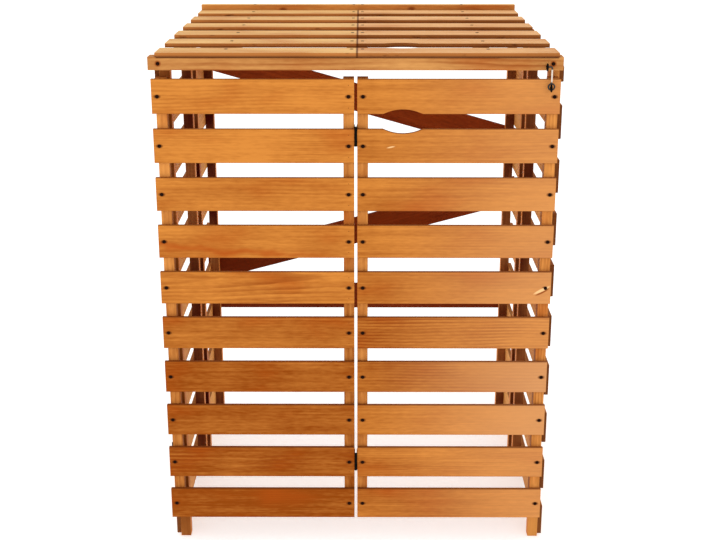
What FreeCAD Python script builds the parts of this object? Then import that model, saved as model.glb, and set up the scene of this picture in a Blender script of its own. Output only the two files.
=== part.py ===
import FreeCAD, Part
import math
import os

# Slatted wooden store for one wheelie bin. X runs to the right seen from the
# front, Y to the back, Z up, all in millimetres. The working coordinates start
# at the left wall's outer face, the doors' front face and the floor; every
# shape is moved at the end so that the origin is the middle of the footprint.

# Timber stock
BOARD_W = 80.0  # face width of a board or slat
BOARD_T = 10.0  # thickness of a board or slat
BOARD_EDGE = 1.0  # planed-off arris along a board
BATTEN = 25.0  # square batten: uprights, stiles, lid battens, lid rear rail
BATTEN_EDGE = 0.8
RAIL_H = 30.0  # height of the front and back top rails
BACK_RAIL_T = 25.0

# Side walls
WALL_SPAN = 936.0  # between the outer faces of the two walls
WALL_DEPTH = 797.0  # front upright's front face to rear upright's rear face
WALL_TOP = 1240.0  # top of the uprights and of the front rail
SIDE_FIRST_Z = 8.0  # underside of the lowest side board
SIDE_ROWS = 9
HALF_PANEL_GAP = 6.0  # between the board ends of the two half panels
MID_SET_IN = 30.0  # from a half panel's inner board end to its upright
TOP_BOARD_W = 36.0  # the narrow board along the top of a wall
TOP_BOARD_DOWN = 26.0  # its upper edge below the uprights' ends
TOP_BOARD_GAP = 54.0  # between it and the highest full board

# Doors
DOORS_PAST_LEFT = 4.0  # doors' left end past the left wall
DOORS_SHORT_RIGHT = 12.0  # doors' right end short of the right wall
CENTRE_GAP = 7.0  # between the two leaves
DOOR_ROWS = 10
DOOR_FIRST_Z = 75.0
DOORS_TO_RAIL = 20.0  # between the highest door board and the front rail
DOOR_TO_WALL = 3.0  # clearance between the stiles and the front uprights
LEFT_OVERHANG = 8.0  # board ends past the left leaf's outer stile
RIGHT_OVERHANG = 3.0
STILE_ABOVE = 1.0  # stile end above the top board
STILE_SHORT = 3.0  # stile end above the lowest board's underside

# Rails and back
RAIL_PAST_LEFT = 9.0  # front rail's end past the left wall
RAIL_SHORT_RIGHT = 8.0  # front rail's end short of the right wall
BACK_BOARD_Z = 328.0
HIGH_BRACE_GAP = 20.0  # between the back rail and the brace's upper corner
HIGH_BRACE_FALL = 0.343  # share of the height from the back board to the rail
LOW_BRACE_GAP = 8.0  # between the back board and the brace's lower corner
LOW_BRACE_RISE = 0.325  # share of the same height

# Lid
LID_LEFT = 8.0  # lid's left end from the left wall's outer face
LID_SHORT_RIGHT = 18.0  # lid's right end short of the right wall
LID_ROWS = 6
LID_FRONT_LIP = 3.0  # front slat past the doors' front face
LID_OUTER_BATTEN_IN = 142.5  # outer batten from the end of its half
LID_BATTEN_TO_RAIL = 4.0
LID_SLAT_TO_REAR_RAIL = 5.0

# Hand holes, a shallow arc in each of two facing edges
DOOR_HOLE_CHORD = 92.0
DOOR_HOLE_RISE = 11.0
LID_HOLE_CHORD = 80.0
LID_HOLE_RISE = 9.0
HOLE_FROM_LEFT = 568.0  # middle of both hand holes from the left wall

# Wood screws
SCREW_HEAD_R = 4.2
SCREW_PROUD = 0.5
SCREW_CONE = 3.0
SCREW_SHANK_R = 1.75
SCREW_LENGTH = 28.0
SCREW_IN = 13.0  # from a board's end
RAIL_SCREW_BITE = 15.0  # of a rail's screw in the batten behind it

# Butt hinges
HINGE_LENGTH = 46.0  # of the fold and lid hinges
POST_HINGE_CLEARANCE = 1.75  # from a post hinge to the wall boards round it
HINGE_PLATE_T = 1.4
HINGE_PLATE_W = 22.0
KNUCKLE_R = 3.2
PIN_R = 1.5
PIN_CLEARANCE = 0.05
KNUCKLE_CLEARANCE = 0.25  # between neighbouring knuckles and round a knuckle
HINGE_HEAD_R = 3.0
HINGE_SCREW_R = 1.5
HINGE_SCREW_OUT = 14.5  # from the plate's edge at the knuckles
HINGE_SCREW_LENGTH = 16.0
HINGE_SCREW_CLEARANCE = 0.05  # round a screw in its plate
FOLD_PIN_AHEAD = 1.0  # fold pin in front of the doors' front face
FOLD_HIGH_DROP = 132.0  # upper fold hinge's middle below the doors' top
FOLD_LOW_RISE = 157.0  # lower fold hinge's middle above the doors' underside
POST_HINGE_OUT = 3.5  # post hinge pin outside the outer stile's face
LID_PIN_OUT = 3.5  # lid hinge pin behind the back rail's face

# Hook and screw eyes
WIRE_R = 1.8
EYE_RING_R = 7.0  # middle line of an eye's ring
EYE_STAND_OFF = 2.0  # between a ring and the wood
EYE_THREAD = 20.0
DOOR_EYE_IN = 23.0  # door eye from the right leaf's outer end
DOOR_EYE_DROP = 19.0  # door eye below the doors' top
RAIL_EYE_RISE = 9.0  # rail eye above the front rail's underside
HOOK_LOOP_R = 7.0
HOOK_SLACK = 0.05  # between the hook's loop and the eye's wire
HOOK_BEND_R = 3.0
HOOK_TIP = 8.0  # tip's reach from the middle of the shank
HOOK_TIP_CLEAR = 1.0  # tip short of the rail eye at rest
HOOK_TIP_HIGH = 0.8  # tip above the middle of the rail eye at rest

# Working levels that follow from the sizes above
DOOR_T = BOARD_T + BATTEN
WALL_Y = DOOR_T + DOOR_TO_WALL
WALL_BACK_Y = WALL_Y + WALL_DEPTH
RAIL_BOTTOM = WALL_TOP - RAIL_H
DOOR_BOTTOM = DOOR_FIRST_Z
DOOR_TOP = RAIL_BOTTOM - DOORS_TO_RAIL
DOOR_PITCH = (DOOR_TOP - BOARD_W - DOOR_FIRST_Z) / (DOOR_ROWS - 1)
DOOR_RIGHT_X = WALL_SPAN - DOORS_SHORT_RIGHT
LEFT_LEAF_X = -DOORS_PAST_LEFT
LEAF_W = (DOOR_RIGHT_X - LEFT_LEAF_X - CENTRE_GAP) / 2
RIGHT_LEAF_X = LEFT_LEAF_X + LEAF_W + CENTRE_GAP
LID_HALF_W = (WALL_SPAN - LID_SHORT_RIGHT - LID_LEFT) / 2
LID_SEAM_X = LID_LEFT + LID_HALF_W
BACK_Y = WALL_BACK_Y + BACK_RAIL_T
BACK_RAIL_TOP = WALL_TOP - BATTEN
TOP_BOARD_Z = WALL_TOP - TOP_BOARD_DOWN - TOP_BOARD_W
SIDE_LAST_Z = TOP_BOARD_Z - TOP_BOARD_GAP - BOARD_W
SIDE_PITCH = (SIDE_LAST_Z - SIDE_FIRST_Z) / (SIDE_ROWS - 1)
BACK_OPEN_LOW = BACK_BOARD_Z + BOARD_W
BACK_OPEN_HIGH = BACK_RAIL_TOP - RAIL_H
POST_HINGE_LENGTH = SIDE_PITCH - BOARD_W - 2 * POST_HINGE_CLEARANCE
EYE_Y = -(EYE_STAND_OFF + EYE_RING_R + WIRE_R)
FRONT_REACH = EYE_RING_R + WIRE_R - EYE_Y
BACK_REACH = BACK_Y + LID_PIN_OUT + KNUCKLE_R
MID_X = (WALL_SPAN + SCREW_PROUD - RAIL_PAST_LEFT) / 2
MID_Y = (BACK_REACH - FRONT_REACH) / 2

V = FreeCAD.Vector
UP = V(0, 0, 1)
DOWN = V(0, 0, -1)
RIGHT = V(1, 0, 0)
LEFT = V(-1, 0, 0)
BACK = V(0, 1, 0)
FRONT = V(0, -1, 0)
parts = {}


def add(name, *solids):
    parts.setdefault(name, []).extend(solids)


def prism(points, direction):
    wire = Part.makePolygon(points + [points[0]])
    return Part.Face(wire).extrude(direction)


def eased(length, a0, a1, b0, b1, edge, place):
    """A straight stick with its four long arrises planed off."""
    ring = [
        (a0 + edge, b0),
        (a1 - edge, b0),
        (a1, b0 + edge),
        (a1, b1 - edge),
        (a1 - edge, b1),
        (a0 + edge, b1),
        (a0, b1 - edge),
        (a0, b0 + edge),
    ]
    return prism([place(a, b) for a, b in ring], length)


def stick_x(x0, x1, y0, y1, z0, z1, edge):
    return eased(V(x1 - x0, 0, 0), y0, y1, z0, z1, edge, lambda a, b: V(x0, a, b))


def stick_y(x0, x1, y0, y1, z0, z1, edge):
    return eased(V(0, y1 - y0, 0), x0, x1, z0, z1, edge, lambda a, b: V(a, y0, b))


def stick_z(x0, x1, y0, y1, z0, z1, edge):
    return eased(V(0, 0, z1 - z0), x0, x1, y0, y1, edge, lambda a, b: V(a, b, z0))


def countersunk(point, inward, head_r, cone, shank_r, length, proud):
    """A countersunk screw whose head stands proud of the surface at point."""
    outward = inward * -1
    solids = []
    if proud > 0:
        solids.append(Part.makeCylinder(head_r, proud, point, outward))
    solids.append(Part.makeCone(head_r, shank_r, cone, point, inward))
    start = point + inward * cone
    solids.append(Part.makeCylinder(shank_r, length - cone, start, inward))
    return solids[0].fuse(solids[1:]).removeSplitter()


def wood_screw(x, y, z, inward):
    return countersunk(
        V(x, y, z), inward, SCREW_HEAD_R, SCREW_CONE, SCREW_SHANK_R, SCREW_LENGTH, SCREW_PROUD
    )


def hand_hole_cutter(chord, rise, middle, away, along):
    """The cylinder that takes a shallow arc out of a board's edge. middle lies
    on the edge, away points into the board, along is the way through it."""
    radius = ((chord / 2) ** 2 + rise**2) / (2 * rise)
    centre = middle + away * (rise - radius)
    return Part.makeCylinder(radius, BOARD_T + 2, centre - along, along)


def door_hand_hole(middle, away):
    return hand_hole_cutter(DOOR_HOLE_CHORD, DOOR_HOLE_RISE, middle, away, BACK)


def lid_hand_hole(middle, away):
    return hand_hole_cutter(LID_HOLE_CHORD, LID_HOLE_RISE, middle, away, UP)


# Side walls. Each wall is two half panels of boards on two uprights, tied by a
# narrow board along the top and by the lowest board, which run the full depth.
half_length = (WALL_DEPTH - HALF_PANEL_GAP) / 2
front_half = (WALL_Y, WALL_Y + half_length)
rear_half = (WALL_BACK_Y - half_length, WALL_BACK_Y)
upright_y = {
    "front_upright": front_half[0],
    "front_mid_upright": front_half[1] - MID_SET_IN - BATTEN,
    "rear_mid_upright": rear_half[0] + MID_SET_IN,
    "rear_upright": rear_half[1] - BATTEN,
}
walls = {
    "left": (0, BOARD_T, 0, RIGHT),
    "right": (WALL_SPAN - BOARD_T, WALL_SPAN - BOARD_T - BATTEN, WALL_SPAN, LEFT),
}
for side, (board_x, upright_x, outer_x, inward) in walls.items():
    for name, y in upright_y.items():
        upright = stick_z(
            upright_x, upright_x + BATTEN, y, y + BATTEN, 0, WALL_TOP, BATTEN_EDGE
        )
        add(side + "_" + name, upright)
    rows = [SIDE_FIRST_Z + row * SIDE_PITCH for row in range(SIDE_ROWS)]
    for z in rows[1:]:
        for name, (y0, y1) in (("front", front_half), ("rear", rear_half)):
            board = stick_y(
                board_x, board_x + BOARD_T, y0, y1, z, z + BOARD_W, BOARD_EDGE
            )
            add(side + "_" + name + "_panel_boards", board)
    full_depth = (("bottom", rows[0], BOARD_W), ("top", TOP_BOARD_Z, TOP_BOARD_W))
    for name, z, width in full_depth:
        board = stick_y(
            board_x, board_x + BOARD_T, WALL_Y, WALL_BACK_Y, z, z + width, BOARD_EDGE
        )
        add(side + "_wall_" + name + "_board", board)
    middles = [z + BOARD_W / 2 for z in rows] + [TOP_BOARD_Z + TOP_BOARD_W / 2]
    for z in middles:
        for y in upright_y.values():
            screw = wood_screw(outer_x, y + BATTEN / 2, z, inward)
            add(side + "_wall_screws", screw)

# Top rails, back board and the two braces across the open back.
rail_right_x = WALL_SPAN - RAIL_SHORT_RIGHT
add(
    "front_top_rail",
    stick_x(-RAIL_PAST_LEFT, rail_right_x, 0, WALL_Y, RAIL_BOTTOM, WALL_TOP, BATTEN_EDGE),
)
add(
    "back_top_rail",
    stick_x(
        0,
        WALL_SPAN,
        WALL_BACK_Y,
        BACK_Y,
        BACK_RAIL_TOP - RAIL_H,
        BACK_RAIL_TOP,
        BATTEN_EDGE,
    ),
)
add(
    "back_cross_board",
    stick_x(
        0,
        WALL_SPAN,
        WALL_BACK_Y,
        WALL_BACK_Y + BOARD_T,
        BACK_BOARD_Z,
        BACK_BOARD_Z + BOARD_W,
        BOARD_EDGE,
    ),
)


def half_brace(climb):
    """Half a brace's upright measure when its ends differ by climb."""
    return BOARD_W / 2 / math.cos(math.atan2(climb, WALL_SPAN))


def brace(left_z, right_z):
    """A board laid slantwise over the rear uprights, its ends cut plumb."""
    half = half_brace(right_z - left_z)
    points = [
        V(0, WALL_BACK_Y, left_z - half),
        V(WALL_SPAN, WALL_BACK_Y, right_z - half),
        V(WALL_SPAN, WALL_BACK_Y, right_z + half),
        V(0, WALL_BACK_Y, left_z + half),
    ]
    return prism(points, V(0, BOARD_T, 0))


fall = HIGH_BRACE_FALL * (BACK_OPEN_HIGH - BACK_OPEN_LOW)
rise = LOW_BRACE_RISE * (BACK_OPEN_HIGH - BACK_OPEN_LOW)
high_left_z = BACK_OPEN_HIGH - HIGH_BRACE_GAP - half_brace(fall)
low_left_z = BACK_OPEN_LOW + LOW_BRACE_GAP + half_brace(rise)
high_brace = (high_left_z, high_left_z - fall)
low_brace = (low_left_z, low_left_z + rise)
add("back_falling_brace", brace(*high_brace))
add("back_rising_brace", brace(*low_brace))

left_post_x = BOARD_T + BATTEN / 2
right_post_x = WALL_SPAN - BOARD_T - BATTEN / 2
rail_middle = (RAIL_BOTTOM + WALL_TOP) / 2
rail_screw_in = RAIL_PAST_LEFT + BOARD_T + SCREW_HEAD_R
rail_screw_x = (rail_screw_in - RAIL_PAST_LEFT, rail_right_x - rail_screw_in)
for x in rail_screw_x:
    screw = countersunk(
        V(x, 0, rail_middle),
        BACK,
        SCREW_HEAD_R,
        SCREW_CONE,
        SCREW_SHANK_R,
        WALL_Y + RAIL_SCREW_BITE,
        SCREW_PROUD,
    )
    add("rail_and_brace_screws", screw)
brace_ends = (
    (left_post_x, *high_brace),
    (right_post_x, *high_brace),
    (left_post_x, *low_brace),
    (right_post_x, *low_brace),
)
for x, left_z, right_z in brace_ends:
    z = left_z + (right_z - left_z) * x / WALL_SPAN
    for up in (-BOARD_W / 4, BOARD_W / 4):
        screw = wood_screw(x, WALL_BACK_Y + BOARD_T, z + up, FRONT)
        add("rail_and_brace_screws", screw)
for x in (left_post_x, right_post_x):
    for up in (BOARD_W / 4, BOARD_W * 3 / 4):
        screw = wood_screw(x, WALL_BACK_Y + BOARD_T, BACK_BOARD_Z + up, FRONT)
        add("rail_and_brace_screws", screw)
    back_rail_screw = countersunk(
        V(x, BACK_Y, BACK_RAIL_TOP - RAIL_H / 2),
        FRONT,
        SCREW_HEAD_R,
        SCREW_CONE,
        SCREW_SHANK_R,
        BACK_RAIL_T + RAIL_SCREW_BITE,
        SCREW_PROUD,
    )
    add("rail_and_brace_screws", back_rail_screw)

# Door leaves. Ten boards on two stiles each; the right leaf's two top boards
# have the hand hole between them.
leaves = {
    "left": (LEFT_LEAF_X, LEFT_OVERHANG, LEAF_W - BATTEN),
    "right": (RIGHT_LEAF_X, LEAF_W - RIGHT_OVERHANG - BATTEN, 0),
}
for side, (leaf_x, outer_in, inner_in) in leaves.items():
    for row in range(DOOR_ROWS):
        z = DOOR_FIRST_Z + row * DOOR_PITCH
        board = stick_x(
            leaf_x, leaf_x + LEAF_W, 0, BOARD_T, z, z + BOARD_W, BOARD_EDGE
        )
        name = side + "_leaf_boards"
        if side == "right" and row == DOOR_ROWS - 1:
            name = "right_leaf_top_board"
            edge = V(HOLE_FROM_LEFT, 0, z)
            board = board.cut(door_hand_hole(edge, UP))
        if side == "right" and row == DOOR_ROWS - 2:
            name = "right_leaf_second_board"
            edge = V(HOLE_FROM_LEFT, 0, z + BOARD_W)
            board = board.cut(door_hand_hole(edge, DOWN))
        add(name, board)
        for x in (leaf_x + SCREW_IN, leaf_x + LEAF_W - SCREW_IN):
            add(side + "_leaf_screws", wood_screw(x, 0, z + BOARD_W / 2, BACK))
    for name, start in (("outer", outer_in), ("inner", inner_in)):
        x = leaf_x + start
        stile = stick_z(
            x,
            x + BATTEN,
            BOARD_T,
            DOOR_T,
            DOOR_BOTTOM + STILE_SHORT,
            DOOR_TOP + STILE_ABOVE,
            BATTEN_EDGE,
        )
        add(side + "_leaf_" + name + "_stile", stile)

# Lid. Two halves of six slats and a rear rail, butted at the seam over four
# battens; the right half's two front slats have a hand hole between them.
lid_top = WALL_TOP + BOARD_T
rear_rail_y = BACK_Y - BATTEN
lid_span = rear_rail_y - LID_SLAT_TO_REAR_RAIL - BOARD_W + LID_FRONT_LIP
lid_pitch = lid_span / (LID_ROWS - 1)
battens = {
    "lid_left_outer_batten": LID_LEFT + LID_OUTER_BATTEN_IN,
    "lid_left_seam_batten": LID_SEAM_X - BATTEN,
    "lid_right_seam_batten": LID_SEAM_X,
    "lid_right_outer_batten": LID_SEAM_X + LID_HALF_W - LID_OUTER_BATTEN_IN - BATTEN,
}
batten_y = (WALL_Y + LID_BATTEN_TO_RAIL, BACK_Y)
for name, x in battens.items():
    batten = stick_y(
        x, x + BATTEN, *batten_y, WALL_TOP - BATTEN, WALL_TOP, BATTEN_EDGE
    )
    add(name, batten)
for side, x in (("left", LID_LEFT), ("right", LID_SEAM_X)):
    for row in range(LID_ROWS):
        y = row * lid_pitch - LID_FRONT_LIP
        slat = stick_x(
            x, x + LID_HALF_W, y, y + BOARD_W, WALL_TOP, lid_top, BOARD_EDGE
        )
        name = "lid_" + side + "_slats"
        if side == "right" and row == 0:
            name = "lid_right_front_slat"
            edge = V(HOLE_FROM_LEFT, y + BOARD_W, WALL_TOP)
            slat = slat.cut(lid_hand_hole(edge, FRONT))
        if side == "right" and row == 1:
            name = "lid_right_second_slat"
            edge = V(HOLE_FROM_LEFT, y, WALL_TOP)
            slat = slat.cut(lid_hand_hole(edge, BACK))
        add(name, slat)
    rear_rail = stick_x(
        x,
        x + LID_HALF_W,
        rear_rail_y,
        BACK_Y,
        WALL_TOP,
        WALL_TOP + BATTEN,
        BATTEN_EDGE,
    )
    add("lid_" + side + "_rear_rail", rear_rail)
for x in battens.values():
    for row in range(LID_ROWS):
        y = max(row * lid_pitch - LID_FRONT_LIP + BOARD_W / 2, batten_y[0] + SCREW_IN)
        add("lid_screws", wood_screw(x + BATTEN / 2, y, lid_top, DOWN))
    rail_screw = countersunk(
        V(x + BATTEN / 2, rear_rail_y + BATTEN / 2, WALL_TOP + BATTEN),
        DOWN,
        SCREW_HEAD_R,
        SCREW_CONE,
        SCREW_SHANK_R,
        BATTEN + RAIL_SCREW_BITE,
        SCREW_PROUD,
    )
    add("lid_screws", rail_screw)


def turned(shape, origin, u, v):
    """Carries a shape drawn at the origin so that its X runs along u and its Y
    along v."""
    w = u.cross(v)
    m = FreeCAD.Matrix()
    m.A11, m.A21, m.A31 = u.x, u.y, u.z
    m.A12, m.A22, m.A32 = v.x, v.y, v.z
    m.A13, m.A23, m.A33 = w.x, w.y, w.z
    m.A14, m.A24, m.A34 = origin.x, origin.y, origin.z
    out = shape.copy()
    out.Placement = FreeCAD.Placement(m)
    return out


plate_start = KNUCKLE_R + KNUCKLE_CLEARANCE


def hinge_leaf(length, own, bore_r, inner, outer):
    """One leaf of a butt hinge, drawn with its pin along Z at the origin and
    its plate towards +X from Y = inner to Y = outer, the face on the wood. own
    lists its knuckles. Returns the leaf and its two screws."""
    side = 1 if outer > 0 else -1
    half = length / 2
    knuckle_length = length / 3
    plate_y = min(inner, outer)
    shape = Part.makeBox(
        HINGE_PLATE_W, HINGE_PLATE_T, length, V(plate_start, plate_y, -half)
    )
    for index in own:
        z0 = -half + index * knuckle_length
        z1 = z0 + knuckle_length
        if index > 0:
            z0 += KNUCKLE_CLEARANCE / 2
        if index < 2:
            z1 -= KNUCKLE_CLEARANCE / 2
        knuckle = Part.makeCylinder(KNUCKLE_R, z1 - z0, V(0, 0, z0))
        web = prism(
            [
                V(0, 0, z0),
                V(KNUCKLE_R, 0, z0),
                V(plate_start, inner, z0),
                V(plate_start, outer, z0),
                V(0, side * KNUCKLE_R, z0),
            ],
            V(0, 0, z1 - z0),
        )
        shape = shape.fuse([knuckle, web])
    bore = Part.makeCylinder(bore_r, length + 2, V(0, 0, -half - 1))
    shape = shape.cut(bore).removeSplitter()
    screws = []
    for z in (-length / 4, length / 4):
        screw, hole = [
            countersunk(
                V(plate_start + HINGE_SCREW_OUT, inner, z),
                V(0, side, 0),
                HINGE_HEAD_R + clearance,
                HINGE_PLATE_T,
                HINGE_SCREW_R + clearance,
                HINGE_SCREW_LENGTH,
                0,
            )
            for clearance in (0, HINGE_SCREW_CLEARANCE)
        ]
        shape = shape.cut(hole)
        screws.append(screw)
    return shape, screws


def butt_hinge(name, origin, length, off_wood, fixed, moving):
    """A hinge of three knuckles. off_wood is from the pin's middle to the face
    that a plate lies on. fixed and moving are each the way the plate runs from
    the pin, the way to the wood, the word for the plate and the part of the
    store that it is screwed to. The pin is tight in the fixed knuckles, so it
    belongs to that part, and the moving knuckle turns on it."""
    inner = off_wood - HINGE_PLATE_T
    leaves = (
        (fixed, (0, 2), PIN_R),
        (moving, (1,), PIN_R + PIN_CLEARANCE),
    )
    for (u, to_wood, plate, body), own, bore_r in leaves:
        leaf, screws = hinge_leaf(length, own, bore_r, inner, off_wood)
        add(name + "_" + plate, turned(leaf, origin, u, to_wood))
        for screw in screws:
            add(body + "_hinge_screws", turned(screw, origin, u, to_wood))
    pin = Part.makeCylinder(PIN_R, length, V(0, 0, -length / 2))
    add(fixed[3] + "_hinge_pins", turned(pin, origin, fixed[0], fixed[1]))


# Post hinges, hidden between the left leaf's outer stile and the left front
# upright, in the gaps between side boards.
post_hinge_rows = (1, SIDE_ROWS - 1)
post_pin_x = LEFT_LEAF_X + LEFT_OVERHANG - POST_HINGE_OUT
for row in post_hinge_rows:
    board_gap_z = SIDE_FIRST_Z + row * SIDE_PITCH + (BOARD_W + SIDE_PITCH) / 2
    butt_hinge(
        "post_hinge",
        V(post_pin_x, (DOOR_T + WALL_Y) / 2, board_gap_z),
        POST_HINGE_LENGTH,
        DOOR_TO_WALL / 2,
        (RIGHT, BACK, "frame_plates", "frame"),
        (RIGHT, FRONT, "leaf_plates", "left_leaf"),
    )

# Fold hinges, in the gap between the leaves, with the knuckles at the front.
for z in (DOOR_TOP - FOLD_HIGH_DROP, DOOR_BOTTOM + FOLD_LOW_RISE):
    butt_hinge(
        "fold_hinge",
        V(LEFT_LEAF_X + LEAF_W + CENTRE_GAP / 2, -FOLD_PIN_AHEAD, z),
        HINGE_LENGTH,
        CENTRE_GAP / 2,
        (BACK, LEFT, "left_plates", "left_leaf"),
        (BACK, RIGHT, "right_plates", "right_leaf"),
    )

# Lid hinges, on the back rail and the lid's rear rails, knuckles outside.
for name in ("lid_left_outer_batten", "lid_right_outer_batten"):
    butt_hinge(
        "lid_hinge",
        V(battens[name] + BATTEN / 2, BACK_Y + LID_PIN_OUT, WALL_TOP - BATTEN / 2),
        HINGE_LENGTH,
        LID_PIN_OUT,
        (DOWN, FRONT, "frame_plates", "frame"),
        (UP, FRONT, "lid_plates", "lid"),
    )

# Latch: a screw eye in the rail, one in the door, and the hook on the door's.
door_eye = V(DOOR_RIGHT_X - DOOR_EYE_IN, EYE_Y, DOOR_TOP - DOOR_EYE_DROP)
rail_eye = V(
    door_eye.x - HOOK_TIP - HOOK_TIP_CLEAR - WIRE_R, EYE_Y, RAIL_BOTTOM + RAIL_EYE_RISE
)


def screw_eye(centre):
    ring = Part.makeTorus(EYE_RING_R, WIRE_R, centre, RIGHT)
    start = centre + BACK * EYE_RING_R
    shank = Part.makeCylinder(WIRE_R, EYE_THREAD - start.y, start, BACK)
    return ring.fuse(shank).removeSplitter()


add("rail_screw_eye", screw_eye(rail_eye))
add("door_screw_eye", screw_eye(door_eye))
loop_centre = door_eye + UP * (EYE_RING_R - HOOK_LOOP_R + 2 * WIRE_R + HOOK_SLACK)
tip_z = rail_eye.z + HOOK_TIP_HIGH
shank_start = loop_centre + UP * HOOK_LOOP_R
shank_end_z = tip_z - HOOK_BEND_R
hook_parts = [
    Part.makeCylinder(WIRE_R, shank_end_z - shank_start.z, shank_start, UP),
]
bend_centre = V(door_eye.x - HOOK_BEND_R, EYE_Y, shank_end_z)
bend_profile = Part.Face(
    Part.Wire(Part.makeCircle(WIRE_R, V(door_eye.x, EYE_Y, shank_end_z), UP))
)
hook_parts.append(bend_profile.revolve(bend_centre, FRONT, 90))
tip_start = V(door_eye.x - HOOK_BEND_R, EYE_Y, tip_z)
hook_parts.append(Part.makeCylinder(WIRE_R, HOOK_TIP - HOOK_BEND_R, tip_start, LEFT))
hook = Part.makeTorus(HOOK_LOOP_R, WIRE_R, loop_centre, BACK).fuse(hook_parts)
add("latch_hook", hook.removeSplitter())

# Writing the parts, moved so that the origin is the middle of the footprint.
shift = V(-MID_X, -MID_Y, 0)
os.makedirs("parts", exist_ok=True)
total = 0
for name in sorted(parts):
    solids = []
    for shape in parts[name]:
        moved = shape.copy()
        moved.translate(shift)
        solids.extend(moved.Solids)
    shape = solids[0] if len(solids) == 1 else Part.makeCompound(solids)
    if not shape.isValid():
        raise ValueError("shape of " + name + " is not valid")
    total += len(solids)
    shape.exportStep("parts/" + name + ".step")
print(len(parts), "nodes,", total, "solids")
print("origin shift", round(-MID_X, 3), round(-MID_Y, 3))
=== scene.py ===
import bmesh
import bpy
import math
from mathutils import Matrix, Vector


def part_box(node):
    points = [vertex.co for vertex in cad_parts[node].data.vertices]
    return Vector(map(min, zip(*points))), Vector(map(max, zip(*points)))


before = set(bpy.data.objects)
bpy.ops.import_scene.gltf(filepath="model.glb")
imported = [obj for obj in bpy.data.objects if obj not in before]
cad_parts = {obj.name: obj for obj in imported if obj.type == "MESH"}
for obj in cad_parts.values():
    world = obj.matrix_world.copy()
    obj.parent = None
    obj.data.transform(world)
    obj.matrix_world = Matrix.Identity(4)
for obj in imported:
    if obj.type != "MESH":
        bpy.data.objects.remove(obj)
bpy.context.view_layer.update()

# The camera stands in front of the doors, about 0.4 m above the lid, and looks
# down into the store between the boards. The lens is worked out from its focal
# length in pixels.
PICTURE_WIDTH = 716
FOCAL_PIXELS = 1203
SENSOR_WIDTH = 36
LOOKS_DOWN = 17.03
LOOKS_LEFT = 0.18
camera = bpy.data.objects.new("camera", bpy.data.cameras.new("camera"))
bpy.context.scene.collection.objects.link(camera)
bpy.context.scene.camera = camera
camera.location = (0.010, -3.1232, 1.651)
camera.rotation_euler = (math.radians(90 - LOOKS_DOWN), 0, math.radians(LOOKS_LEFT))
camera.data.sensor_width = SENSOR_WIDTH
camera.data.lens = FOCAL_PIXELS / PICTURE_WIDTH * SENSOR_WIDTH
camera.data.shift_y = -0.05
camera.data.clip_start = 0.05
camera.data.clip_end = 200

# The studio is white all round. Two large soft lamps, one ahead and to the
# right and one above, model the boards.
WHITE = (1, 1, 1, 1)
bpy.context.scene.view_settings.view_transform = "Standard"
sky = bpy.data.worlds.new("studio")
sky.use_nodes = True
background = sky.node_tree.nodes["Background"]
background.inputs["Color"].default_value = WHITE
background.inputs["Strength"].default_value = 1.0
bpy.context.scene.world = sky


def soft_lamp(name, place, target, width, watts):
    """A round lamp that faces a target."""
    lamp = bpy.data.lights.new(name, "AREA")
    lamp.shape = "DISK"
    lamp.size = width
    lamp.energy = watts
    holder = bpy.data.objects.new(name, lamp)
    holder.location = place
    way = Vector(target) - Vector(place)
    holder.rotation_euler = way.to_track_quat("-Z", "Y").to_euler()
    bpy.context.scene.collection.objects.link(holder)


soft_lamp("front lamp", (1.6, -3.6, 2.6), (0, 0, 0.7), width=1.6, watts=8)
soft_lamp("top lamp", (-0.6, -0.4, 4.2), (0, 0, 1.0), width=2.0, watts=14)


# The floor isn't part of the store. It is a plain pale sheet just under the
# feet, and it glows a little, so that it is nearly white between the boards.
# Its finish is the first, so what every finish is made with stands here.
class Value:
    """A shader value. Arithmetic on it adds the Math node that does it."""

    def __init__(self, finish, socket):
        self.finish = finish
        self.socket = socket

    def math(self, operation, *others):
        inputs = dict(enumerate((self, *others)))
        return self.finish.node("ShaderNodeMath", {"operation": operation}, inputs)

    def __add__(self, other):
        return self.math("ADD", other)

    __radd__ = __add__

    def __mul__(self, other):
        return self.math("MULTIPLY", other)

    __rmul__ = __mul__

    def __sub__(self, other):
        return self.math("SUBTRACT", other)

    def __rsub__(self, other):
        return self * -1 + other

    def __truediv__(self, other):
        return self.math("DIVIDE", other)

    def __or__(self, other):
        """The larger of the two, so that masks join."""
        return self.math("MAXIMUM", other)

    def __abs__(self):
        return self.math("ABSOLUTE")

    def floor(self):
        return self.math("FLOOR")

    def over(self, low, high):
        """0 below low, 1 above high, smooth between."""
        settings = {"interpolation_type": "SMOOTHSTEP"}
        inputs = {0: self, 1: low, 2: high, 3: 0.0, 4: 1.0}
        return self.finish.node("ShaderNodeMapRange", settings, inputs)

    def past(self, limit):
        """0 before a limit and 1 past it."""
        return self.over(limit - 0.0001, limit + 0.0001)

    def either_way(self, start=0.5, full=0.9):
        """For a facing: 1 where the surface looks along it, to either side."""
        return abs(self).over(start, full)


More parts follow.
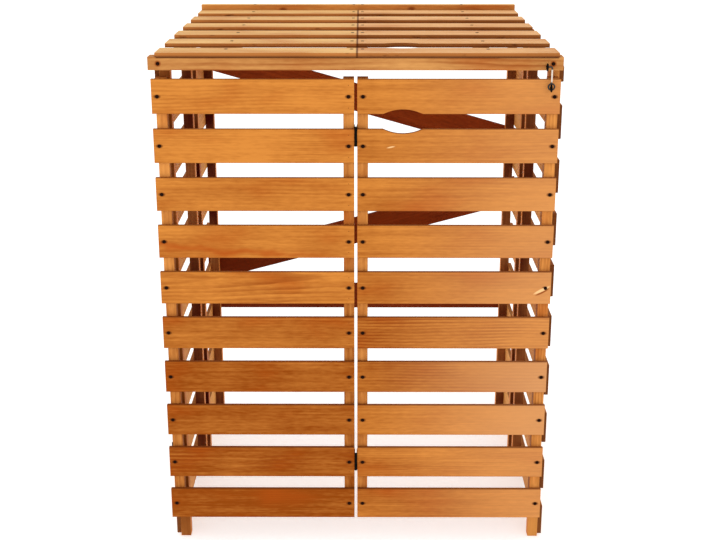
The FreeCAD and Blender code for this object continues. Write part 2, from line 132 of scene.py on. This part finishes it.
class Finish:
    """A material and the nodes behind its surface shader."""

    def __init__(self, name):
        self.material = bpy.data.materials.new(name)
        self.material.use_nodes = True
        self.tree = self.material.node_tree
        self.surface = self.tree.nodes["Principled BSDF"]

    def node(self, kind, settings=None, inputs=None, out=0):
        made = self.tree.nodes.new(kind)
        for key, value in (settings or {}).items():
            setattr(made, key, value)
        for key, value in (inputs or {}).items():
            if isinstance(value, Value):
                self.tree.links.new(value.socket, made.inputs[key])
            else:
                made.inputs[key].default_value = value
        return Value(self, made.outputs[out])

    def split(self, vector):
        parts = self.node("ShaderNodeSeparateXYZ", {}, {0: vector})
        outputs = parts.socket.node.outputs
        return [Value(self, outputs[i]) for i in range(3)]

    def place(self):
        """Where a point of the store lies, in metres."""
        return self.split(self.node("ShaderNodeTexCoord", out="Object"))

    def facing(self):
        """Which way the surface faces there."""
        return self.split(self.node("ShaderNodeTexCoord", out="Normal"))

    def vector(self, x, y, z):
        return self.node("ShaderNodeCombineXYZ", {}, {0: x, 1: y, 2: z})

    def noise(self, x, y, z, detail=2.0, rough=0.5):
        inputs = {"Vector": self.vector(x, y, z), "Scale": 1.0, "Detail": detail}
        inputs["Roughness"] = rough
        return self.node("ShaderNodeTexNoise", {}, inputs, "Fac")

    def chance(self, x, y, z):
        """Three numbers from 0 to 1, drawn anew wherever x, y or z differs."""
        inputs = {"Vector": self.vector(x, y, z)}
        return self.split(self.node("ShaderNodeTexWhiteNoise", {}, inputs, "Color"))

    def mix(self, a, b, share):
        settings = {"data_type": "RGBA", "clamp_factor": True}
        return self.node("ShaderNodeMix", settings, {0: share, 6: a, 7: b}, 2)

    def set(self, **sockets):
        for key, value in sockets.items():
            socket = self.surface.inputs[key.replace("_", " ")]
            if isinstance(value, Value):
                self.tree.links.new(value.socket, socket)
            else:
                socket.default_value = value

    def wear(self, *nodes):
        """The CAD nodes that have this finish."""
        for node in nodes:
            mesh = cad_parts[node].data
            mesh.materials.clear()
            mesh.materials.append(self.material)


def tone(red, green, blue):
    """A colour as read off a screen, made linear."""
    parts = []
    for c in (red, green, blue):
        c = c / 255
        parts.append(c / 12.92 if c <= 0.04045 else ((c + 0.055) / 1.055) ** 2.4)
    return (*parts, 1.0)


FLOOR_HALF_WIDTH = 40
FLOOR_DROP = 0.001
floor_finish = Finish("pale floor")
floor_finish.set(Base_Color=tone(228, 229, 229), Roughness=0.9, Specular_IOR_Level=0.0)
floor_finish.set(Emission_Color=WHITE, Emission_Strength=0.5)
ground = bmesh.new()
bmesh.ops.create_grid(ground, x_segments=1, y_segments=1, size=FLOOR_HALF_WIDTH)
bmesh.ops.translate(ground, verts=ground.verts, vec=(0, 0, -FLOOR_DROP))
ground_mesh = bpy.data.meshes.new("floor")
ground.to_mesh(ground_mesh)
ground.free()
ground_mesh.materials.append(floor_finish.material)
floor = bpy.data.objects.new("floor", ground_mesh)
bpy.context.scene.collection.objects.link(floor)

# Door boards. Ten planed fir boards to a leaf, held by a screw at either end,
# under a see-through orange-brown stain, and sawn edges and ends have drunk more
# of it. The colour is also darker low down, most on the left leaf, which is
# painted shade, and paler towards the right leaf's end, which is painted light.
RING_STAIN = tone(138, 58, 6)
RED_STAIN = tone(190, 84, 18)


class Fir(Finish):
    """Stained fir. The rings of the tree are worked out in depth, so that a face
    shows lines or flames and an end shows arcs. Each board is from another tree.
    Inside noise, what a place is multiplied by is in waves a metre."""

    HEART_BESIDE = 0.1  # to one side of straight grain
    HEART_AHEAD = 0.022  # of where through is 0, at least
    HEART_SPREAD = 0.03
    HEART_LEAN = 0.16  # in the length of flamed grain
    YEAR = 0.0052  # least width of a ring
    YEAR_SPREAD = 0.0045

    def __init__(self, name):
        super().__init__(name)
        self.set(Specular_IOR_Level=0.04, Roughness=0.6)

    def grain(self, along, across, through, key, figure, bold):
        """along, across and through are metres in the board's own directions.
        key is a number for each board. figure is 0 for straight grain and 1 for
        flames, bold how dark the rings are."""
        tree, beside, ahead = self.chance(key, 3.7, 1.3)
        lean, width, _ = self.chance(key, 9.1, 5.9)
        self.board = tree - 0.5
        slide = tree * 37.0 + key
        sway = self.noise(along * 2.4 + slide, across * 8.0, slide, 1.0) - 0.5
        ripple = self.noise(along * 10.0, across * 30.0 + slide, through * 30.0) - 0.5
        side = beside.past(0.5) * 2 - 1
        heart_across = across + side * (1 - figure) * self.HEART_BESIDE
        heart_across = heart_across + (beside - 0.5) * self.HEART_SPREAD + sway * 0.02
        heart_through = through + self.HEART_AHEAD + ahead * self.HEART_SPREAD
        heart_through = heart_through + along * (lean - 0.5) * figure * self.HEART_LEAN
        squares = heart_across * heart_across + heart_through * heart_through
        radius = squares.math("SQRT") + ripple * 0.004
        year = (radius / (self.YEAR + width * self.YEAR_SPREAD)).math("FRACT")
        late = year.over(0.2, 0.85) * (1 - year.over(0.86, 1.0))
        patch = self.noise(along * 4.0 + slide, across * 14.0, through * 14.0, 1.0)
        self.lines = late * bold * patch.over(0.25, 0.7)
        streak = self.noise(along * 3.0 + slide, across * 120.0, through * 120.0, 3.0, 0.6)
        fibre = self.noise(along * 16.0, across * 800.0 + slide, through * 800.0, 2.0)
        self.blotch = self.noise(along * 4.5 + slide, across * 10.0, through * 10.0) - 0.5
        mottle = self.noise(along * 45.0, across * 190.0 + slide, through * 190.0, 1.0)
        self.streaks = (streak - 0.5) + self.blotch * 0.9 + (mottle - 0.5) * 0.5
        self.streaks = self.streaks + (fibre - 0.5) * 0.25
        height = self.lines * 0.6 + fibre * 0.5
        inputs = {"Strength": 0.3, "Distance": 0.0005, "Height": height}
        self.set(Normal=self.node("ShaderNodeBump", {}, inputs, "Normal"))

    def stain(self, pale, deep, shade):
        """The stain's colour over the grain, before edges and marks."""
        body = self.mix(pale, deep, shade + self.streaks + self.board * 0.16)
        body = self.mix(body, RED_STAIN, self.blotch.over(0.0, 0.3) * 0.45)
        return self.mix(body, RING_STAIN, self.lines)

    def spot(self, u, v, inner, outer):
        """1 within inner metres of the place where u and v are 0."""
        return 1 - (u * u + v * v).math("SQRT").over(inner, outer)


top_low, top_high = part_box("right_leaf_top_board")
BOARD_WIDTH = top_high.z - top_low.z


def in_rows(place, first, pitch):
    """A board's number in its row of boards, and metres from its middle line."""
    row = ((place - first + (pitch - BOARD_WIDTH) / 2) / pitch).floor()
    return row, place - row * pitch - (first + BOARD_WIDTH / 2)


PALE_STAIN = tone(213, 135, 57)
DEEP_STAIN = tone(144, 68, 6)
PAINTED_LIGHT_TONE = tone(212, 151, 99)
SAWN_STAIN = tone(118, 60, 22)
WAVE_STAIN = tone(176, 80, 20)
BRUISE_AND_SHADOW = tone(84, 34, 8)
TORN_WOOD = tone(248, 200, 140)
DOOR_ROWS = 10
SHADED_BELOW_Z = 0.1
LIT_ABOVE_Z = 1.2
LEAF_REACH = 0.47  # from the store's middle to just past the doors
SCREW_IN = 0.013  # from a board's end
NAIL_OUT = 0.026  # from a board's middle line
NICK_X = 0.077
NICK_Z = 1.033
TEAR_X = 0.439
TEAR_Z = 0.685
left_low, left_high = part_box("left_leaf_boards")
right_low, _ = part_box("right_leaf_boards")
DOOR_FACE_Y = left_low.y
DOOR_PITCH = (top_low.z - left_low.z) / (DOOR_ROWS - 1)
GAP_X = (left_high.x + right_low.x) / 2
LEAF_MIDDLE_X = (left_low.x + left_high.x) / 2
LEAF_STEP = right_low.x - left_low.x
SCREW_OUT = (left_high.x - left_low.x) / 2 - SCREW_IN
door_wood = Fir("door boards")
x, y, z = door_wood.place()
nx, _, nz = door_wood.facing()
row, up = in_rows(z, left_low.z, DOOR_PITCH)
right = x.past(GAP_X)


def is_row(number, leaf):
    """1 on one board of a leaf, counted from the lowest."""
    return row.math("COMPARE", number, 0.1) * (right if leaf == "right" else 1 - right)


flamed = is_row(5, "left") + is_row(1, "left") * 0.5
ridged = is_row(4, "right") + is_row(3, "right") + is_row(1, "left") * 0.5
plain = is_row(9, "right") + is_row(2, "right") + is_row(6, "left") + is_row(8, "left") * 0.6
bold = 0.27 + flamed * 0.3 + ridged * 0.5 - plain * 0.17
board = row + right * 20.0 + 3.0
door_wood.grain(x, up, y - DOOR_FACE_Y, board, figure=flamed * 0.8, bold=bold)
# Darker low down is painted shade, strongest on the left leaf.
low = 1 - z.over(SHADED_BELOW_Z, LIT_ABOVE_Z)
left_shade = 0.12 + low * 0.72 + is_row(3, "left") * 0.16 + is_row(9, "left") * 0.08
left_shade = left_shade + is_row(0, "left") * 0.1
left_shade = left_shade - is_row(5, "left") * 0.13 - is_row(8, "left") * 0.06
# On the right leaf, paler towards its end is painted light.
rightwards = (x / LEAF_REACH) | 0.0
right_shade = 0.4 - rightwards * 0.32 + low * 0.12 + ridged * (0.2 - rightwards * 0.1)
right_shade = right_shade + is_row(5, "right") * 0.12 - is_row(1, "right") * 0.06
shade = left_shade * (1 - right) + right_shade * right
body = door_wood.stain(PALE_STAIN, DEEP_STAIN, shade)
# Painted light: the right leaf is mixed paler towards its end, more low down and less on a
# few boards.
less_lit_boards = (is_row(0, "right") + is_row(1, "right") + is_row(4, "right")) * 0.45
less_lit_boards = less_lit_boards - is_row(3, "right") * 0.2
painted_light = right * rightwards.over(0.0, 1.1) * (0.4 + low * 0.5) * (1 - less_lit_boards)
body = door_wood.mix(body, PAINTED_LIGHT_TONE, painted_light * 0.9)

# One board of the left leaf has a reddish wave across it, broken up and faded
# towards the middle.
wave = door_wood.noise(x * 11.0, z * 14.0, 2.0, 2.0) - 0.5
band = 1 - abs(up + 0.042 + x * 0.068 + wave * 0.05).over(0.0, 0.013)
breaks = door_wood.noise(x * 9.0, z * 60.0, 5.0, 2.0).over(0.2, 0.6)
breaks = breaks * (1 - x.over(-0.2, -0.04))
body = door_wood.mix(body, WAVE_STAIN, band * breaks * is_row(6, "left") * 0.85)
edge = nz.either_way(0.3, 0.95) | nx.either_way()
body = door_wood.mix(body, SAWN_STAIN, edge * 0.75)

# Screws have bruised the faces. The left leaf's boards have nail holes above
# and below its inner screws, and the right leaf has a pale nick and a pale tear.
from_middle = x - LEAF_MIDDLE_X - right * LEAF_STEP
front = 1 - (y - DOOR_FACE_Y).over(0.001, 0.002)
bruise = door_wood.spot((abs(from_middle) - SCREW_OUT) * 0.6, up, 0.003, 0.0062)
body = door_wood.mix(body, BRUISE_AND_SHADOW, bruise * front * 0.75)
nails = door_wood.spot(from_middle - SCREW_OUT, abs(up) - NAIL_OUT, 0.0006, 0.0018)
body = door_wood.mix(body, SAWN_STAIN, nails * front * (1 - right) * 0.7)
nick_x = x - NICK_X
nick = door_wood.spot(nick_x * 0.2, (z - NICK_Z) - nick_x * 0.2, 0.0009, 0.0024)
tear_x = x - TEAR_X
torn = (z - TEAR_Z) - tear_x * 0.5
tear = door_wood.spot(tear_x * 0.22, torn, 0.003, 0.005)
tear_edge = door_wood.spot(tear_x * 0.2, torn + 0.006, 0.0018, 0.0036)
body = door_wood.mix(body, RING_STAIN, tear_edge * front * 0.8)
body = door_wood.mix(body, TORN_WOOD, (nick + tear) * front * 0.9)
door_wood.set(Base_Color=body)
door_wood.wear("left_leaf_boards", "right_leaf_boards")
door_wood.wear("right_leaf_top_board", "right_leaf_second_board")

# Door stiles. Two square fir battens, upright behind each leaf's boards, that
# the boards are screwed to. The outer ones are pale and the inner ones like the
# boards, and the faces to the sides are sawn and darker. Darker low down, mostly
# on the left leaf, is painted shade.
PALE_BATTEN = tone(228, 152, 76)
OUTER_PAST_X = 0.25
stile_wood = Fir("door stiles")
x, y, z = stile_wood.place()
nx, _, nz = stile_wood.facing()
right = x.past(GAP_X)
outer = abs(x).past(OUTER_PAST_X)
stile = right + outer * (right * 2 - 1) * 14.0 + 49.0
stile_wood.grain(z, x, y, stile, figure=0.3, bold=0.35)
# Darker low down is painted shade.
low = 1 - z.over(SHADED_BELOW_Z, LIT_ABOVE_Z)
shade = 0.34 - outer * 0.24 + low * (0.55 - right * 0.45)
body = stile_wood.stain(PALE_BATTEN, DEEP_STAIN, shade)
sawn = nx.either_way() | nz.either_way()
body = stile_wood.mix(body, SAWN_STAIN, sawn * 0.6)
stile_wood.set(Base_Color=body)
for leaf in ("left", "right"):
    stile_wood.wear(leaf + "_leaf_outer_stile", leaf + "_leaf_inner_stile")

# Uprights. Four square fir battens to a wall, which carry its boards and are
# the store's feet. Their faces to the front and back are darkened with painted
# shade, nearly maroon behind the front pair and brown on the front pair, darker
# on the left.
MAROON_SHADE_AND_STAIN = tone(70, 16, 6)
UPRIGHT_STAIN = tone(232, 152, 80)
RIGHT_FRONT_SHADE = tone(200, 134, 64)
LEFT_FRONT_SHADE = tone(132, 70, 22)
BEHIND_FRONT_PAIR_Y = -0.36
UPRIGHT_LOT = 0.049  # a length of wall that holds one upright or none
upright_wood = Fir("uprights")
x, y, z = upright_wood.place()
_, ny, _ = upright_wood.facing()
upright = ((y + 0.01) / UPRIGHT_LOT).floor() + x.past(0.0) * 30.0 + 50.0
upright_wood.grain(z, x, y, upright, figure=0.3, bold=0.35)
body = upright_wood.stain(UPRIGHT_STAIN, DEEP_STAIN, 0.12)
# Painted shade on the faces to the front and back: maroon behind the front pair, brown on
# the front pair, darker on the left.
rough = ny.either_way()
front_pair_shade = upright_wood.mix(LEFT_FRONT_SHADE, RIGHT_FRONT_SHADE, x.past(0.0))
behind = y.over(BEHIND_FRONT_PAIR_Y - 0.001, BEHIND_FRONT_PAIR_Y + 0.001)
painted_face_shade = upright_wood.mix(front_pair_shade, MAROON_SHADE_AND_STAIN, behind)
body = upright_wood.mix(body, painted_face_shade, rough * (0.85 + upright_wood.blotch * 0.8))
upright_wood.set(Base_Color=body)
for side in ("left", "right"):
    for name in ("front", "front_mid", "rear_mid", "rear"):
        upright_wood.wear(side + "_" + name + "_upright")

# Wall boards. Nine rows of fir boards screwed to the uprights from outside, the
# lowest in one length and the others in two half panels end to end, and a
# narrow board along the top.
WALL_STAIN = tone(230, 166, 92)
WALL_ENDS = tone(98, 44, 14)
PANEL_ROWS = 8
bottom_low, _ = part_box("left_wall_bottom_board")
front_low, front_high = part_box("left_front_panel_boards")
rear_low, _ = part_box("left_rear_panel_boards")
opposite_low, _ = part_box("right_wall_bottom_board")
PANELS_MEET_Y = (front_high.y + rear_low.y) / 2
WALL_STEP = opposite_low.x - bottom_low.x
side_wood = Fir("wall boards")
x, y, z = side_wood.place()
_, ny, nz = side_wood.facing()
row, up = in_rows(z, bottom_low.z, front_low.z - bottom_low.z)
in_panel = row.past(0.5) * (1 - row.past(PANEL_ROWS + 0.5))
half = y.past(PANELS_MEET_Y) * in_panel
wall = x.past(0.0)
through = x - bottom_low.x - wall * WALL_STEP
board = row + half * 20.0 + wall * 50.0 + 140.0
side_wood.grain(y, up, through, board, figure=0.25, bold=0.35)
body = side_wood.stain(WALL_STAIN, DEEP_STAIN, 0.12)
body = side_wood.mix(body, SAWN_STAIN, nz.either_way(0.3, 0.95) * 0.75)
body = side_wood.mix(body, WALL_ENDS, ny.either_way(0.3, 0.9) * 0.9)
side_wood.set(Base_Color=body)
for side in ("left", "right"):
    side_wood.wear(side + "_front_panel_boards", side + "_rear_panel_boards")
    side_wood.wear(side + "_wall_bottom_board", side + "_wall_top_board")

# Front rail. A planed fir stick over the doors, screwed to the front uprights
# near both ends. A dark band along its top, under the lid's front edge, is
# painted shadow, its sawn ends are stained dark, and the screws have bruised its
# face.
RAIL_PALE = tone(214, 152, 86)
RAIL_DEEP = tone(156, 90, 38)
SHADOW_AND_END_STAIN = tone(76, 28, 6)
RAIL_SCREW_IN = 0.0232  # from the rail's end
LID_REACH = 0.451  # from the store's middle to just short of the lid's ends
rail_low, rail_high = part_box("front_top_rail")
RAIL_MIDDLE_Z = (rail_low.z + rail_high.z) / 2
first_screw_x = rail_low.x + RAIL_SCREW_IN
second_screw_x = rail_high.x - RAIL_SCREW_IN
rail_wood = Fir("front rail")
x, y, z = rail_wood.place()
nx, _, _ = rail_wood.facing()
rail_wood.grain(x, z - RAIL_MIDDLE_Z, y - rail_low.y, 244.0, figure=0.7, bold=0.6)
body = rail_wood.stain(RAIL_PALE, RAIL_DEEP, 0.36)
# Painted shadow in a band along the rail's top, under the lid's front edge, but not past the
# lid's ends.
lid_shadow = z.over(rail_high.z - 0.0038, rail_high.z - 0.0016)
lid_shadow = lid_shadow * (1 - abs(x).over(LID_REACH, LID_REACH + 0.005))
shadow_and_ends = lid_shadow | nx.either_way() * 0.6
body = rail_wood.mix(body, SHADOW_AND_END_STAIN, shadow_and_ends * 0.95)
from_screw = x - x.past(0.0) * (second_screw_x - first_screw_x) - first_screw_x
front = 1 - (y - rail_low.y).over(0.001, 0.002)
bruise = rail_wood.spot(from_screw, z - RAIL_MIDDLE_Z, 0.0045, 0.009)
body = rail_wood.mix(body, RING_STAIN, bruise * front * 0.8)
rail_wood.set(Base_Color=body)
rail_wood.wear("front_top_rail")

# Back rail, back board and two sloping braces. Rough fir, screwed to the rear
# uprights from behind. Their deep colour is partly the wood's own stain and
# partly painted shade. The grain of a brace slopes with it. The faces towards
# the inside of the store carry more painted shade, less high up and to the right.
BACK_PALE = tone(158, 70, 28)
BACK_DEEP = tone(92, 30, 10)
FALLING_SLOPE = 0.2847
RISING_SLOPE = 0.2697
_, board_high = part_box("back_cross_board")
rising_low, rising_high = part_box("back_rising_brace")
falling_low, falling_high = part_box("back_falling_brace")
back_rail_low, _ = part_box("back_top_rail")
cross_wood = Fir("back boards")
x, y, z = cross_wood.place()
_, ny, nz = cross_wood.facing()
over_board = z.past((board_high.z + rising_low.z) / 2)
over_rising = z.past((rising_high.z + falling_low.z) / 2)
over_falling = z.past((falling_high.z + back_rail_low.z) / 2)
rising = over_board - over_rising
falling = over_rising - over_falling
across = z + x * (falling * FALLING_SLOPE - rising * RISING_SLOPE)
board = over_board + over_rising + over_falling + 261.0
cross_wood.grain(x, across, y, board, figure=0.4, bold=0.35)
body = cross_wood.stain(BACK_PALE, BACK_DEEP, 0.36)
body = cross_wood.mix(body, MAROON_SHADE_AND_STAIN, nz.either_way(0.3, 0.9) * 0.7)
# Painted shade on the faces towards the inside of the store, less high up and to the right.
inside = 1 - ny.over(-0.9, -0.5)
shade = 0.5 + cross_wood.blotch * 0.8 - z.over(0.85, 0.95) * 0.45 - x.over(-0.3, 0.2) * 0.25
body = cross_wood.mix(body, MAROON_SHADE_AND_STAIN, inside * shade)
cross_wood.set(Base_Color=body)
cross_wood.wear("back_top_rail", "back_cross_board")
cross_wood.wear("back_falling_brace", "back_rising_brace")

# Lid slats. Six planed fir slats to each half, screwed down to the battens, and
# paler than the doors on top. Their long edges are darker with painted shade,
# deeper in patches and on the right half, with a painted shadow along their
# lower arris, and hold bits of bark. Their ends are dark.
LID_TOP_LEFT = tone(227, 180, 116)
LID_TOP_RIGHT = tone(229, 177, 121)
LID_DEEP = tone(184, 118, 62)
LID_EDGE = tone(184, 114, 56)
LID_EDGE_SHADE = tone(98, 46, 10)
LID_BARK = tone(92, 48, 20)
LID_ENDS = tone(92, 46, 16)
LID_ROWS = 6
slats_low, slats_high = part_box("lid_left_slats")
second_low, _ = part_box("lid_right_second_slat")
LID_SEAM_X = slats_high.x
lid_wood = Fir("lid slats")
x, y, z = lid_wood.place()
nx, ny, _ = lid_wood.facing()
row, across = in_rows(y, slats_low.y, second_low.y - slats_low.y)
half = x.past(LID_SEAM_X)
slat = row + half * 20.0 + 300.0
lid_wood.grain(x, across, z - slats_high.z, slat, figure=0.5, bold=0.35)
pale = lid_wood.mix(LID_TOP_LEFT, LID_TOP_RIGHT, half)
body = lid_wood.stain(pale, LID_DEEP, 0.2 - row / (LID_ROWS - 1) * 0.12)
bark = lid_wood.noise(x * 18.0, z * 60.0, row + half * 7.0, 3.0).over(0.6, 0.7)
# Painted shade on the long edges, deeper in patches and on the right half.
edge_shade = half * (0.25 + row.over(0.5, 0.6) * 0.3) + lid_wood.blotch * 0.8
edge_tone = lid_wood.mix(LID_EDGE, LID_EDGE_SHADE, edge_shade)
edge_tone = lid_wood.mix(edge_tone, LID_BARK, bark * 0.7)
# A painted shadow line along the edges' lower arris.
low_edge = 1 - z.over(slats_low.z + 0.0006, slats_low.z + 0.0054)
edge_tone = lid_wood.mix(edge_tone, BRUISE_AND_SHADOW, low_edge * 0.85)
body = lid_wood.mix(body, edge_tone, ny.either_way(0.3, 0.95))
seam = 1 - abs(x - LID_SEAM_X).over(0.0012, 0.0034)
body = lid_wood.mix(body, LID_ENDS, (nx.either_way() | seam) * 0.85)
lid_wood.set(Base_Color=body)
lid_wood.wear("lid_left_slats", "lid_right_slats")
lid_wood.wear("lid_right_front_slat", "lid_right_second_slat")

# Rear rails of the lid. A square fir stick to each half, across the battens'
# rear ends, that the lid's hinges are screwed to. Each has a knot, and the tops
# are as pale as the slats.
REAR_PALE = tone(214, 144, 72)
REAR_DEEP = tone(166, 96, 42)
REAR_TOP = tone(234, 194, 132)
KNOT = tone(124, 54, 14)
LEFT_KNOT = (-0.219, 1.252)
RIGHT_KNOT = (0.154, 1.254)
rear_rail_low, rear_rail_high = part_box("lid_left_rear_rail")
rear_rail_wood = Fir("lid rear rails")
x, y, z = rear_rail_wood.place()
nx, _, nz = rear_rail_wood.facing()
half = x.past(LID_SEAM_X)
across = z - (rear_rail_low.z + rear_rail_high.z) / 2
rear_rail_wood.grain(x, across, y, half * 20.0 + 346.0, figure=0.5, bold=0.4)
body = rear_rail_wood.stain(REAR_PALE, REAR_DEEP, 0.24 + half * 0.3)
for knot_x, knot_z in (LEFT_KNOT, RIGHT_KNOT):
    knot = rear_rail_wood.spot((x - knot_x) * 0.5, z - knot_z, 0.002, 0.008)
    body = rear_rail_wood.mix(body, KNOT, knot * 0.8)
body = rear_rail_wood.mix(body, REAR_TOP, nz.over(0.5, 0.9) * 0.8)
body = rear_rail_wood.mix(body, SAWN_STAIN, nx.either_way() * 0.8)
rear_rail_wood.set(Base_Color=body)
rear_rail_wood.wear("lid_left_rear_rail", "lid_right_rear_rail")

# Lid battens. Two square fir battens under each half, one of them along the
# seam, that the slats are screwed down to. They are out of the light and darker
# than the slats.
BATTEN_PALE = tone(170, 84, 34)
BATTEN_DEEP = tone(104, 38, 12)
OUTER_BATTEN_PAST_X = 0.15
batten_wood = Fir("lid battens")
x, y, z = batten_wood.place()
half = x.past(LID_SEAM_X)
outer = abs(x).past(OUTER_BATTEN_PAST_X)
batten = half + outer * (half * 2 - 1) * 10.0 + 379.0
batten_wood.grain(y, x, z, batten, figure=0.3, bold=0.35)
batten_wood.set(Base_Color=batten_wood.stain(BATTEN_PALE, BATTEN_DEEP, 0.4))
for side in ("left", "right"):
    batten_wood.wear("lid_" + side + "_outer_batten", "lid_" + side + "_seam_batten")

# Wood screws. Countersunk steel screws that hold boards, slats and rails to the
# battens. Their heads stand a little proud of the wood, and the stain has turned
# them dark brown.
screw_steel = Finish("dark screws")
screw_steel.set(Base_Color=tone(30, 12, 6), Specular_IOR_Level=0.03, Roughness=0.6)
screw_steel.wear("left_wall_screws", "right_wall_screws", "rail_and_brace_screws")
screw_steel.wear("left_leaf_screws", "right_leaf_screws", "lid_screws")

# Hinges and screw eyes. Black steel butt hinges on round pins, screwed to the
# left post, the leaves and the lid, and the two wire eyes of the catch, screwed
# into the rail and the right leaf.
black_steel = Finish("black hinges")
black_steel.set(Base_Color=tone(9, 7, 6), Specular_IOR_Level=0.04, Roughness=0.5)
black_steel.wear("post_hinge_frame_plates", "post_hinge_leaf_plates")
black_steel.wear("fold_hinge_left_plates", "fold_hinge_right_plates")
black_steel.wear("lid_hinge_frame_plates", "lid_hinge_lid_plates")
black_steel.wear("frame_hinge_pins", "left_leaf_hinge_pins")
black_steel.wear("frame_hinge_screws", "left_leaf_hinge_screws")
black_steel.wear("right_leaf_hinge_screws", "lid_hinge_screws")
black_steel.wear("rail_screw_eye", "door_screw_eye")

# Hook of the catch. Bent from black steel wire and hung in the door's eye. Its
# shank between the two bends has a painted highlight, bright and partly metallic.
HOOK_BLACK = tone(18, 16, 16)
HOOK_GLINT = tone(226, 214, 200)
SHANK_FROM_Z = 1.1835
SHANK_TO_Z = 1.2155
hook_wire = Finish("black hook with painted glint")
_, _, z = hook_wire.place()
# Painted highlight along the shank.
glint = z.over(SHANK_FROM_Z, SHANK_FROM_Z + 0.0045)
glint = glint * (1 - z.over(SHANK_TO_Z - 0.004, SHANK_TO_Z))
hook_wire.set(Base_Color=hook_wire.mix(HOOK_BLACK, HOOK_GLINT, glint))
hook_wire.set(Metallic=glint * 0.6, Roughness=0.35)
hook_wire.wear("latch_hook")
